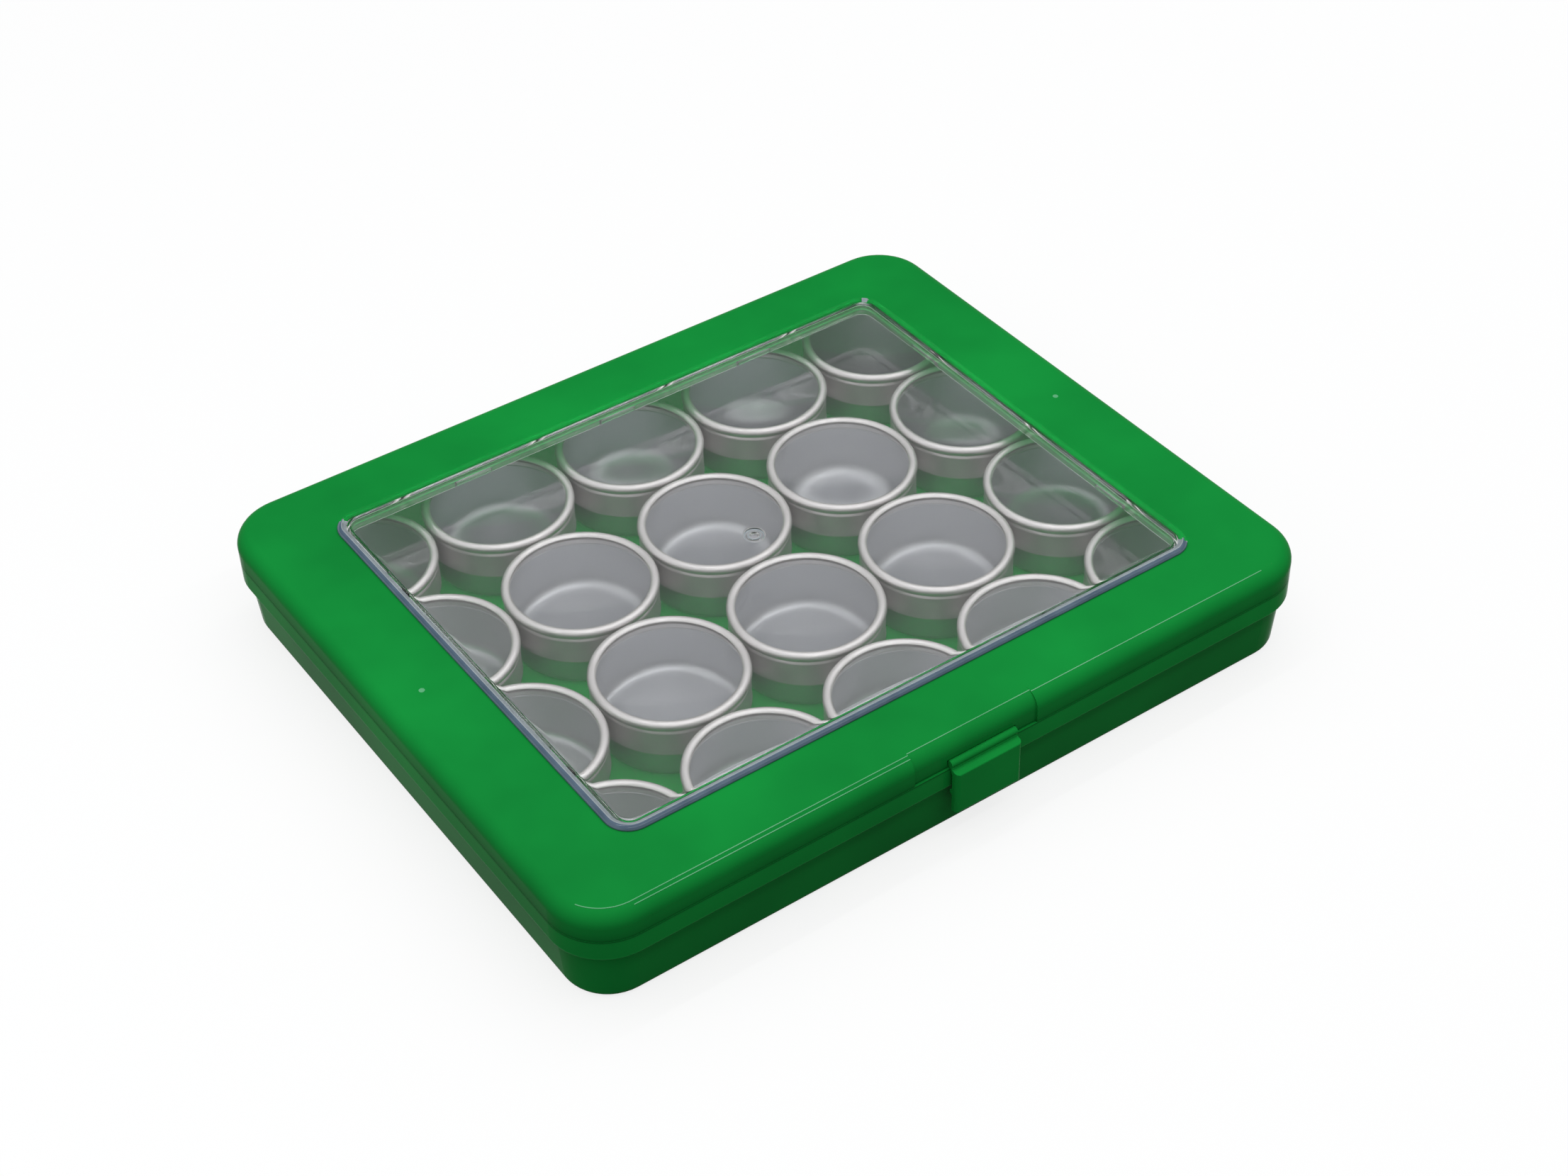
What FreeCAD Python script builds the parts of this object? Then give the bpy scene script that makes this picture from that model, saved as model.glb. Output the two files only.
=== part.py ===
import FreeCAD, Part
import math
import os

os.makedirs("parts", exist_ok=True)

# Lengths are in millimetres. X runs along the latch side, -Y is the front, Z is up.
# The origin is the middle of the flat underside.

# Tins: round cups with push-on caps, standing in a square grid
tin_columns = 5
tin_rows = 4
tin_diameter = 30.0
tin_gap = 0.5
tin_height = 13.4
tin_stand_gap = 0.05
cup_wall = 0.5
cup_corner_radius = 1.5
cap_skirt_wall = 0.45
cap_running_gap = 0.1
cap_skirt_drop = 7.5
cap_seat_drop = 3.4
cap_seat_gap = 0.1
bead_width = 1.9
bead_height = 1.8
bead_overhang = 0.25
bead_groove_depth = 0.35
glass_thickness = 1.0
glass_gap = 0.05
glass_drop = 0.45
glass_bite = 0.65

# Tray: drafted tub under a flange band, with a lip that nests inside the lid
end_clearance = 1.5
side_clearance = 2.35
tub_wall = 1.6
tub_step = 1.2
tub_draft = 0.9
floor_thickness = 1.6
tub_bottom_radius = 1.6
tub_inner_radius = 0.9
flange_bottom_z = 11.5
flange_top_z = 16.0
flange_edge_radius = 0.5
flange_root_radius = 0.5
lip_height = 1.9
lip_wall = 0.8
outer_corner_radius = 11.0

# Lid: shallow frame with a flat top and a rounded edge
lid_top_z = 22.0
parting_gap = 0.15
lip_gap = 0.3
lid_plate = 1.8
lid_edge_radius = 3.0
scoop_width = 27.0
scoop_depth = 0.4

# Window: clear plate on the frame, with a plug rim and snap lugs under the frame
window_half_x = 63.7
window_half_y = 51.6
window_corner_radius = 5.0
window_proud = 0.9
window_plate = 1.2
window_edge_radius = 0.5
window_seat = 1.6
window_seat_gap = 0.05
plug_gap = 0.15
plug_wall = 1.2
lug_length = 8.0
lug_reach = 0.7
lug_height = 1.0
lug_gap = 0.1
lug_pitch_x = 33.2
lug_offset_y = 29.0

# Rear hinge: two groups of knuckles, each on a steel pin just outside the rear edge
hinge_outset = 0.4
knuckle_radius = 1.8
knuckle_gap = 0.3
lid_knuckle_length = 8.0
base_knuckle_length = 5.0
hinge_offset_x = 45.0
pin_radius = 0.8
pin_press_gap = 0.01
pin_running_gap = 0.06
pin_recess = 0.2

# Front latch flap: hangs from a bead on the lid's lower edge, with a nib below the flange
latch_width = 14.5
latch_offset_x = 1.3
latch_thickness = 1.45
latch_bottom_z = 6.65
latch_ledge_depth = 1.5
latch_ledge_drop = 0.95
latch_shoulder_drop = 1.35
latch_neck_drop = 2.05
latch_corner_radius = 0.9
latch_bead_radius = 0.75
latch_bead_gap = 0.1
latch_bead_rise = 0.9
latch_edge_radius = 0.3
nib_reach = 0.55
nib_height = 0.9
nib_gap = 0.3

ring_depth = 9.5
cut_margin = 1.0

tin_pitch = tin_diameter + tin_gap
tin_radius = tin_diameter / 2
floor_z = floor_thickness
tin_bottom_z = floor_z + tin_stand_gap
rim_width = tub_step + tub_wall
inner_half_x = (tin_columns - 1) / 2 * tin_pitch + tin_radius + end_clearance
inner_half_y = (tin_rows - 1) / 2 * tin_pitch + tin_radius + side_clearance
outer_half_x = inner_half_x + rim_width
outer_half_y = inner_half_y + rim_width
lid_bottom_z = flange_top_z + parting_gap
lid_wall = rim_width - lip_wall - lip_gap
lid_under_z = lid_top_z - lid_plate
latch_front_y = -(outer_half_y + hinge_outset + knuckle_radius)
latch_back_y = latch_front_y + latch_thickness
latch_axis_y = -outer_half_y
latch_axis_z = lid_bottom_z + latch_bead_rise
hinge_y = outer_half_y + hinge_outset
hinge_z = flange_top_z


def unit(from_point, to_point):
    du = to_point[0] - from_point[0]
    dv = to_point[1] - from_point[1]
    length = math.hypot(du, dv)
    return du / length, dv / length


def profile_face(points, place):
    # Closed outline through (u, v, radius) corners; each corner is rounded by its own radius
    count = len(points)
    corners = []
    for index, (u, v, radius) in enumerate(points):
        back = unit((u, v), points[index - 1])
        ahead = unit((u, v), points[(index + 1) % count])
        if radius == 0:
            corners.append([(u, v)])
            continue
        half_angle = math.acos(back[0] * ahead[0] + back[1] * ahead[1]) / 2
        reach = radius / math.tan(half_angle)
        middle = unit((0, 0), (back[0] + ahead[0], back[1] + ahead[1]))
        depth = radius / math.sin(half_angle) - radius
        start = (u + back[0] * reach, v + back[1] * reach)
        crown = (u + middle[0] * depth, v + middle[1] * depth)
        end = (u + ahead[0] * reach, v + ahead[1] * reach)
        corners.append([start, crown, end])
    edges = []
    for index, corner in enumerate(corners):
        if len(corner) == 3:
            edges.append(Part.Arc(*[place(u, v) for u, v in corner]).toShape())
        following = corners[(index + 1) % count][0]
        edges.append(Part.makeLine(place(*corner[-1]), place(*following)))
    return Part.Face(Part.Wire(edges))


def ring(points, half_x, half_y, corner_radius):
    # Solid frame: one cross-section carried round a rounded rectangle, offsets outward positive
    run_x = half_x - corner_radius
    run_y = half_y - corner_radius
    pieces = []
    for side in (1, -1):
        face = profile_face(points, lambda n, z: FreeCAD.Vector(side * (half_x + n), -run_y, z))
        pieces.append(face.extrude(FreeCAD.Vector(0, 2 * run_y, 0)))
        face = profile_face(points, lambda n, z: FreeCAD.Vector(-run_x, side * (half_y + n), z))
        pieces.append(face.extrude(FreeCAD.Vector(2 * run_x, 0, 0)))
    for side_x in (1, -1):
        for side_y in (1, -1):
            centre = FreeCAD.Vector(side_x * run_x, side_y * run_y, 0)
            face = profile_face(
                points,
                lambda n, z: centre + FreeCAD.Vector(side_x * (corner_radius + n), 0, z),
            )
            turn = 90 * side_x * side_y
            pieces.append(face.revolve(centre, FreeCAD.Vector(0, 0, 1), turn))
    return pieces[0].fuse(pieces[1:]).removeSplitter()


def plate(half_x, half_y, corner_radius, bottom_z, top_z):
    # Flat plate with rounded corners
    square = [
        (half_x, -half_y, corner_radius),
        (half_x, half_y, corner_radius),
        (-half_x, half_y, corner_radius),
        (-half_x, -half_y, corner_radius),
    ]
    face = profile_face(square, lambda x, y: FreeCAD.Vector(x, y, bottom_z))
    return face.extrude(FreeCAD.Vector(0, 0, top_z - bottom_z))


def block(low, high):
    size = [b - a for a, b in zip(low, high)]
    return Part.makeBox(*size, FreeCAD.Vector(*low))


def rod_x(radius, start_x, end_x, y, z):
    start = FreeCAD.Vector(start_x, y, z)
    return Part.makeCylinder(radius, end_x - start_x, start, FreeCAD.Vector(1, 0, 0))


def turned(points):
    # Solid of revolution about Z from (radius, height, rounding) corners
    face = profile_face(points, lambda r, z: FreeCAD.Vector(r, 0, z))
    return face.revolve(FreeCAD.Vector(0, 0, 0), FreeCAD.Vector(0, 0, 1), 360)


def knuckle_spans(centre_x):
    half_lid = lid_knuckle_length / 2
    inner = half_lid + knuckle_gap
    outer = inner + base_knuckle_length
    lid_span = (centre_x - half_lid, centre_x + half_lid)
    base_spans = [(centre_x - outer, centre_x - inner), (centre_x + inner, centre_x + outer)]
    return lid_span, base_spans


def base_tray():
    floor_edge = -(rim_width + tub_draft)
    wall = [
        (-ring_depth, 0, 0),
        (-(tub_step + tub_draft), 0, tub_bottom_radius),
        (-tub_step, flange_bottom_z, flange_root_radius),
        (0, flange_bottom_z, flange_edge_radius),
        (0, flange_top_z, 0),
        (-(lid_wall + lip_gap), flange_top_z, 0),
        (-(lid_wall + lip_gap), flange_top_z + lip_height, 0),
        (-rim_width, flange_top_z + lip_height, 0),
        (-rim_width, flange_bottom_z, 0),
        (floor_edge, floor_z, tub_inner_radius),
        (-ring_depth, floor_z, 0),
    ]
    tray = ring(wall, outer_half_x, outer_half_y, outer_corner_radius)
    inner_corner = outer_corner_radius - ring_depth
    floor = plate(outer_half_x - ring_depth, outer_half_y - ring_depth, inner_corner, 0, floor_z)
    tray = tray.fuse(floor).removeSplitter()
    for centre_x in (-hinge_offset_x, hinge_offset_x):
        lid_span, base_spans = knuckle_spans(centre_x)
        relief = rod_x(
            knuckle_radius + knuckle_gap,
            lid_span[0] - knuckle_gap,
            lid_span[1] + knuckle_gap,
            hinge_y,
            hinge_z,
        )
        tray = tray.cut(relief)
        for start_x, end_x in base_spans:
            tray = tray.fuse(rod_x(knuckle_radius, start_x, end_x, hinge_y, hinge_z))
        bore = rod_x(
            pin_radius + pin_press_gap, base_spans[0][0], base_spans[1][1], hinge_y, hinge_z
        )
        tray = tray.cut(bore)
    return tray.removeSplitter()


def scoop_cutter():
    # Space in front of a thumb scoop: the rounded lid edge moved back by the scoop depth
    front = -outer_half_y + scoop_depth
    rear = front + lid_edge_radius
    solid_edge = [
        (front, lid_bottom_z - cut_margin, 0),
        (front, lid_top_z, lid_edge_radius),
        (rear + cut_margin, lid_top_z, 0),
        (rear + cut_margin, lid_bottom_z - cut_margin, 0),
    ]
    start_x = -scoop_width / 2
    face = profile_face(solid_edge, lambda y, z: FreeCAD.Vector(start_x, y, z))
    keep = face.extrude(FreeCAD.Vector(scoop_width, 0, 0))
    low = (start_x, -outer_half_y - cut_margin, lid_bottom_z - cut_margin)
    space = block(low, (-start_x, rear, lid_top_z + cut_margin))
    return space.cut(keep)


def lid_frame():
    inner_radius = lid_edge_radius - lid_wall
    edge = [
        (0, lid_bottom_z, 0),
        (0, lid_top_z, lid_edge_radius),
        (-ring_depth, lid_top_z, 0),
        (-ring_depth, lid_under_z, 0),
        (-lid_wall, lid_under_z, inner_radius),
        (-lid_wall, lid_bottom_z, 0),
    ]
    frame = ring(edge, outer_half_x, outer_half_y, outer_corner_radius)
    inner_corner = outer_corner_radius - ring_depth
    top = plate(
        outer_half_x - ring_depth, outer_half_y - ring_depth, inner_corner, lid_under_z, lid_top_z
    )
    opening = plate(
        window_half_x - window_seat,
        window_half_y - window_seat,
        window_corner_radius - window_seat,
        lid_under_z - cut_margin,
        lid_top_z + cut_margin,
    )
    frame = frame.fuse(top).cut(opening).cut(scoop_cutter())
    for centre_x in (-hinge_offset_x, hinge_offset_x):
        lid_span, base_spans = knuckle_spans(centre_x)
        for start_x, end_x in base_spans:
            relief = rod_x(
                knuckle_radius + knuckle_gap,
                start_x - knuckle_gap,
                end_x + knuckle_gap,
                hinge_y,
                hinge_z,
            )
            frame = frame.cut(relief)
        frame = frame.fuse(rod_x(knuckle_radius, lid_span[0], lid_span[1], hinge_y, hinge_z))
        bore = rod_x(pin_radius + pin_running_gap, lid_span[0], lid_span[1], hinge_y, hinge_z)
        frame = frame.cut(bore)
    half_groove = latch_width / 2 + knuckle_gap
    groove = rod_x(
        latch_bead_radius + latch_bead_gap,
        latch_offset_x - half_groove,
        latch_offset_x + half_groove,
        latch_axis_y,
        latch_axis_z,
    )
    return frame.cut(groove).removeSplitter()


def lid_window():
    seat_z = lid_top_z + window_seat_gap
    crown_z = lid_top_z + window_proud
    under_z = crown_z - window_plate
    lug_top_z = lid_under_z - lug_gap
    plug_bottom_z = lug_top_z - lug_height
    plug_outer = window_seat + plug_gap
    plug_inner = plug_outer + plug_wall
    middle = (plug_inner + window_corner_radius) / 2
    rim = [
        (0, seat_z, 0),
        (0, crown_z, window_edge_radius),
        (-middle, crown_z, 0),
        (-middle, under_z, 0),
        (-plug_inner, under_z, 0),
        (-plug_inner, plug_bottom_z, 0),
        (-plug_outer, plug_bottom_z, 0),
        (-plug_outer, seat_z, 0),
    ]
    window = ring(rim, window_half_x, window_half_y, window_corner_radius)
    pane = plate(
        window_half_x - middle,
        window_half_y - middle,
        window_corner_radius - middle,
        under_z,
        crown_z,
    )
    window = window.fuse(pane)
    reach_x = window_half_x - window_seat + lug_reach
    reach_y = window_half_y - window_seat + lug_reach
    root = lug_reach + plug_gap + plug_wall / 2
    half_lug = lug_length / 2
    for side in (1, -1):
        for step in (-1, 0, 1):
            ends = sorted((side * reach_y, side * (reach_y - root)))
            low = (step * lug_pitch_x - half_lug, ends[0], plug_bottom_z)
            high = (step * lug_pitch_x + half_lug, ends[1], lug_top_z)
            window = window.fuse(block(low, high))
        for step in (-1, 1):
            ends = sorted((side * reach_x, side * (reach_x - root)))
            low = (ends[0], step * lug_offset_y - half_lug, plug_bottom_z)
            high = (ends[1], step * lug_offset_y + half_lug, lug_top_z)
            window = window.fuse(block(low, high))
    return window.removeSplitter()


def front_latch():
    nib_top_z = flange_bottom_z - nib_gap
    nib_bottom_z = nib_top_z - nib_height
    flap = [
        (latch_front_y, latch_bottom_z, latch_edge_radius),
        (latch_back_y, latch_bottom_z, latch_edge_radius),
        (latch_back_y, nib_bottom_z, 0),
        (latch_back_y + nib_reach, nib_bottom_z + nib_reach / 2, 0),
        (latch_back_y + nib_reach, nib_top_z, 0),
        (latch_back_y, nib_top_z, 0),
        (latch_back_y, latch_axis_z - latch_neck_drop, 0),
        (latch_axis_y, latch_axis_z - latch_bead_radius / 2, 0),
        (latch_axis_y, latch_axis_z, 0),
        (latch_axis_y - latch_bead_radius / 2, latch_axis_z + latch_bead_radius / 3, 0),
        (latch_front_y + latch_ledge_depth, latch_axis_z - latch_ledge_drop, 0),
        (latch_front_y, latch_axis_z - latch_shoulder_drop, latch_edge_radius),
    ]
    left = latch_offset_x - latch_width / 2
    right = latch_offset_x + latch_width / 2
    face = profile_face(flap, lambda y, z: FreeCAD.Vector(left, y, z))
    body = face.extrude(FreeCAD.Vector(latch_width, 0, 0))
    # Seen from above, the flap's two front corners are rounded
    plan = [
        (left, latch_front_y, latch_corner_radius),
        (right, latch_front_y, latch_corner_radius),
        (right, latch_axis_y + cut_margin, 0),
        (left, latch_axis_y + cut_margin, 0),
    ]
    face = profile_face(plan, lambda x, y: FreeCAD.Vector(x, y, 0))
    body = body.common(face.extrude(FreeCAD.Vector(0, 0, lid_top_z)))
    bead = rod_x(latch_bead_radius, left, right, latch_axis_y, latch_axis_z)
    return body.fuse(bead).removeSplitter()


def hinge_pin(centre_x):
    lid_span, base_spans = knuckle_spans(centre_x)
    start_x = base_spans[0][0] + pin_recess
    end_x = base_spans[1][1] - pin_recess
    return rod_x(pin_radius, start_x, end_x, hinge_y, hinge_z)


skirt_outer = tin_radius - bead_overhang
skirt_inner = skirt_outer - cap_skirt_wall
cup_radius = skirt_inner - cap_running_gap
cap_seat_z = tin_height - cap_seat_drop
glass_top_z = tin_height - glass_drop
glass_bottom_z = glass_top_z - glass_thickness
bead_inner = tin_radius - bead_width
glass_radius = bead_inner + glass_bite


def tin_cup():
    rim_z = cap_seat_z - cap_seat_gap
    inner_radius = cup_radius - cup_wall
    wall = [
        (0, 0, 0),
        (cup_radius, 0, cup_corner_radius),
        (cup_radius, rim_z, 0),
        (inner_radius, rim_z, 0),
        (inner_radius, cup_wall, cup_corner_radius - cup_wall),
        (0, cup_wall, 0),
    ]
    return turned(wall)


def tin_cap():
    bead_bottom_z = tin_height - bead_height
    bead_radius = bead_height / 2 - glass_gap
    groove_outer = glass_radius + glass_gap
    inner_wall = skirt_inner - cap_skirt_wall
    ledge_z = glass_bottom_z - glass_gap
    section = [
        (skirt_inner, tin_height - cap_skirt_drop, 0),
        (skirt_outer, tin_height - cap_skirt_drop, cap_running_gap),
        (skirt_outer, bead_bottom_z - bead_groove_depth, 0),
        (skirt_outer - bead_groove_depth, bead_bottom_z, 0),
        (tin_radius, bead_bottom_z, bead_radius),
        (tin_radius, tin_height, bead_radius),
        (bead_inner, tin_height, glass_drop - glass_gap * 2),
        (bead_inner, glass_top_z + glass_gap, 0),
        (groove_outer, glass_top_z + glass_gap, 0),
        (groove_outer, ledge_z, 0),
        (bead_inner, ledge_z, 0),
        (bead_inner, bead_bottom_z, 0),
        (inner_wall, bead_bottom_z - (inner_wall - bead_inner), 0),
        (inner_wall, cap_seat_z, 0),
        (skirt_inner, cap_seat_z, 0),
    ]
    disc = Part.makeCylinder(
        glass_radius, glass_thickness, FreeCAD.Vector(0, 0, glass_bottom_z)
    )
    return Part.makeCompound([turned(section), disc])


base_tray().exportStep("parts/base_tray.step")
lid_frame().exportStep("parts/lid_frame.step")
lid_window().exportStep("parts/lid_window.step")
front_latch().exportStep("parts/front_latch.step")
hinge_pin(-hinge_offset_x).exportStep("parts/hinge_pin_left.step")
hinge_pin(hinge_offset_x).exportStep("parts/hinge_pin_right.step")

cup_shape = tin_cup()
cap_shape = tin_cap()
for row in range(tin_rows):
    for column in range(tin_columns):
        place = FreeCAD.Vector(
            (column - (tin_columns - 1) / 2) * tin_pitch,
            (row - (tin_rows - 1) / 2) * tin_pitch,
            tin_bottom_z,
        )
        number = row * tin_columns + column + 1
        cup = cup_shape.copy()
        cup.translate(place)
        cup.exportStep(f"parts/tin_cup_{number:02d}.step")
        cap = cap_shape.copy()
        cap.translate(place)
        cap.exportStep(f"parts/tin_cap_{number:02d}.step")
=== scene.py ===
import math

import bmesh
import bpy
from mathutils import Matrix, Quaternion, Vector


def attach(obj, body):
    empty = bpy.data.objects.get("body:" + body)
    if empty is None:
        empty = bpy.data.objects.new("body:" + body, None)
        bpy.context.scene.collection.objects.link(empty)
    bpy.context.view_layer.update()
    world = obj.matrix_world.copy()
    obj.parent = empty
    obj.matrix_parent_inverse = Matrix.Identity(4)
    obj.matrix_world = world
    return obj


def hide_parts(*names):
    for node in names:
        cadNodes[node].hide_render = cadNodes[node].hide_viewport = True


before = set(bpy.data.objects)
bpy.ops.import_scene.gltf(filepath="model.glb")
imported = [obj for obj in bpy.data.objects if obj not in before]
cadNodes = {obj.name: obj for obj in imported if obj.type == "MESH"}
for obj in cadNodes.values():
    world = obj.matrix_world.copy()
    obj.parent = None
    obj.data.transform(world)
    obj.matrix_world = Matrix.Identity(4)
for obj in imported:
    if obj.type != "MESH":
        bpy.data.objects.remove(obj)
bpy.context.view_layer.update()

mm = 0.001
white = (1, 1, 1, 1)
weld = {"loft": 1e-7, "baked": 1e-6, "sliver": 1e-7}  # merge distances in metres


# helpers shared by all pieces

def hexToLinear(text):
    channels = [int(text[i:i + 2], 16) / 255 for i in (0, 2, 4)]
    linear = [c / 12.92 if c <= 0.04045 else ((c + 0.055) / 1.055) ** 2.4 for c in channels]
    return (*linear, 1.0)


def addNode(tree, kind, settings=None, links=None):
    # settings name a node property or an input, links go from another node's output
    node = tree.nodes.new(kind)
    for key, value in (settings or {}).items():
        if isinstance(key, str) and hasattr(node, key):
            setattr(node, key, value)
        else:
            node.inputs[key].default_value = value
    for key, source in (links or {}).items():
        tree.links.new(source, node.inputs[key])
    return node


def addObject(name, data):
    thing = bpy.data.objects.new(name, data)
    bpy.context.scene.collection.objects.link(thing)
    return thing


def newMaterial(name):
    material = bpy.data.materials.new(name)
    material.use_nodes = True
    tree = material.node_tree
    tree.nodes.clear()
    output = tree.nodes.new("ShaderNodeOutputMaterial")
    return material, tree, output


def setRamp(ramp, stops):
    # (place, linear colour) stops, from low to high
    for index, (place, colour) in enumerate(stops):
        stop = ramp.elements[index] if index < 2 else ramp.elements.new(place)
        stop.position = place
        stop.color = colour


def setTones(ramp, tones, places=(0, 1)):
    setRamp(ramp, [(place, hexToLinear(tone)) for place, tone in zip(places, tones)])


def setShades(ramp, shades):
    setRamp(ramp, [(place, (level, level, level, 1)) for place, level in shades])


def newTree(name, inputs):
    # geometry node group with named inputs and one geometry output
    tree = bpy.data.node_groups.new(name, "GeometryNodeTree")
    face = tree.interface
    for label, kind in inputs.items():
        face.new_socket(label, in_out="INPUT", socket_type="NodeSocket" + kind)
    face.new_socket("Geometry", in_out="OUTPUT", socket_type="NodeSocketGeometry")
    return tree, addNode(tree, "NodeGroupInput")


def endTree(tree, shape, finish):
    real = addNode(tree, "GeometryNodeRealizeInstances", {}, {"Geometry": shape})
    dressed = addNode(tree, "GeometryNodeSetMaterial", {},
                      {"Geometry": real.outputs["Geometry"], "Material": finish})
    addNode(tree, "NodeGroupOutput", {}, {"Geometry": dressed.outputs["Geometry"]})
    return tree


def bakeTree(tree, values, name):
    # runs a node tree once and keeps its result as a plain mesh
    carrier = addObject(name, bpy.data.meshes.new(name))
    modifier = carrier.modifiers.new("shape", "NODES")
    modifier.node_group = tree
    for item in tree.interface.items_tree:
        if item.in_out == "INPUT" and item.name in values:
            modifier[item.identifier] = values[item.name]
    bpy.context.view_layer.update()
    graph = bpy.context.evaluated_depsgraph_get()
    mesh = bpy.data.meshes.new_from_object(carrier.evaluated_get(graph))
    carrier.modifiers.remove(modifier)
    bpy.data.objects.remove(carrier)
    work = bmesh.new()
    work.from_mesh(mesh)
    bmesh.ops.remove_doubles(work, verts=work.verts, dist=weld["baked"])
    bmesh.ops.dissolve_degenerate(work, edges=work.edges, dist=weld["sliver"])
    bmesh.ops.recalc_face_normals(work, faces=work.faces)
    work.to_mesh(mesh)
    work.free()
    mesh.name = name
    return mesh


def lineObject(name, points, closed=False):
    # a line of edges through these points, for a tree to follow
    edges = [(i, i + 1) for i in range(len(points) - 1)]
    if closed:
        edges.append((len(points) - 1, 0))
    mesh = bpy.data.meshes.new(name)
    mesh.from_pydata(points, edges, [])
    return addObject(name, mesh)


def roundProfile(corners, steps):
    # (u, v, radius) corners to points, each corner an arc of its own radius
    points = []
    count = len(corners)
    for index, (u, v, radius) in enumerate(corners):
        here = Vector((u, v))
        if radius == 0:
            points.append(here)
            continue
        back = (Vector(corners[index - 1][:2]) - here).normalized()
        ahead = (Vector(corners[(index + 1) % count][:2]) - here).normalized()
        halfAngle = math.acos(max(-1, min(1, back.dot(ahead)))) / 2
        middle = (back + ahead).normalized()
        centre = here + middle * radius / math.sin(halfAngle)
        start = here + back * radius / math.tan(halfAngle) - centre
        end = here + ahead * radius / math.tan(halfAngle) - centre
        sweep = start.angle_signed(end)
        for step in range(steps + 1):
            turn = -sweep * step / steps
            arm = Vector((
                start.x * math.cos(turn) - start.y * math.sin(turn),
                start.x * math.sin(turn) + start.y * math.cos(turn),
            ))
            points.append(centre + arm)
    return points


def roundedLoop(halfX, halfY, radius, z, steps):
    # one closed loop round a rounded rectangle, the same count for any size
    loop = []
    for quarter, (sideX, sideY) in enumerate(((1, 1), (-1, 1), (-1, -1), (1, -1))):
        for step in range(steps + 1):
            angle = math.pi / 2 * (quarter + step / steps)
            loop.append(Vector((
                sideX * (halfX - radius) + radius * math.cos(angle),
                sideY * (halfY - radius) + radius * math.sin(angle),
                z,
            )) * mm)
    return loop


def loftMesh(name, loops, bands=None):
    # quads between neighbouring loops, the first and last loops filled;
    # bands gives each row of quads its material slot
    work = bmesh.new()
    rings = [[work.verts.new(point) for point in loop] for loop in loops]
    count = len(rings[0])
    for row, (lower, upper) in enumerate(zip(rings, rings[1:])):
        for i in range(count):
            j = (i + 1) % count
            quad = work.faces.new((lower[i], lower[j], upper[j], upper[i]))
            quad.material_index = bands[row] if bands else 0
    work.faces.new(list(reversed(rings[0])))
    work.faces.new(rings[-1])
    bmesh.ops.remove_doubles(work, verts=work.verts, dist=weld["loft"])
    bmesh.ops.recalc_face_normals(work, faces=work.faces)
    mesh = bpy.data.meshes.new(name)
    work.to_mesh(mesh)
    work.free()
    return mesh


def addPiece(name, mesh, finishes, body, nodes=(), smoothAngle=35):
    # a baked mesh already carries its finish, so finishes is then empty
    piece = addObject(name, mesh)
    for finish in finishes:
        mesh.materials.append(finish)
    mesh.shade_smooth()
    mesh.set_sharp_from_angle(angle=math.radians(smoothAngle))
    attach(piece, body)
    if nodes:
        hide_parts(*nodes)


# materials

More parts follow.
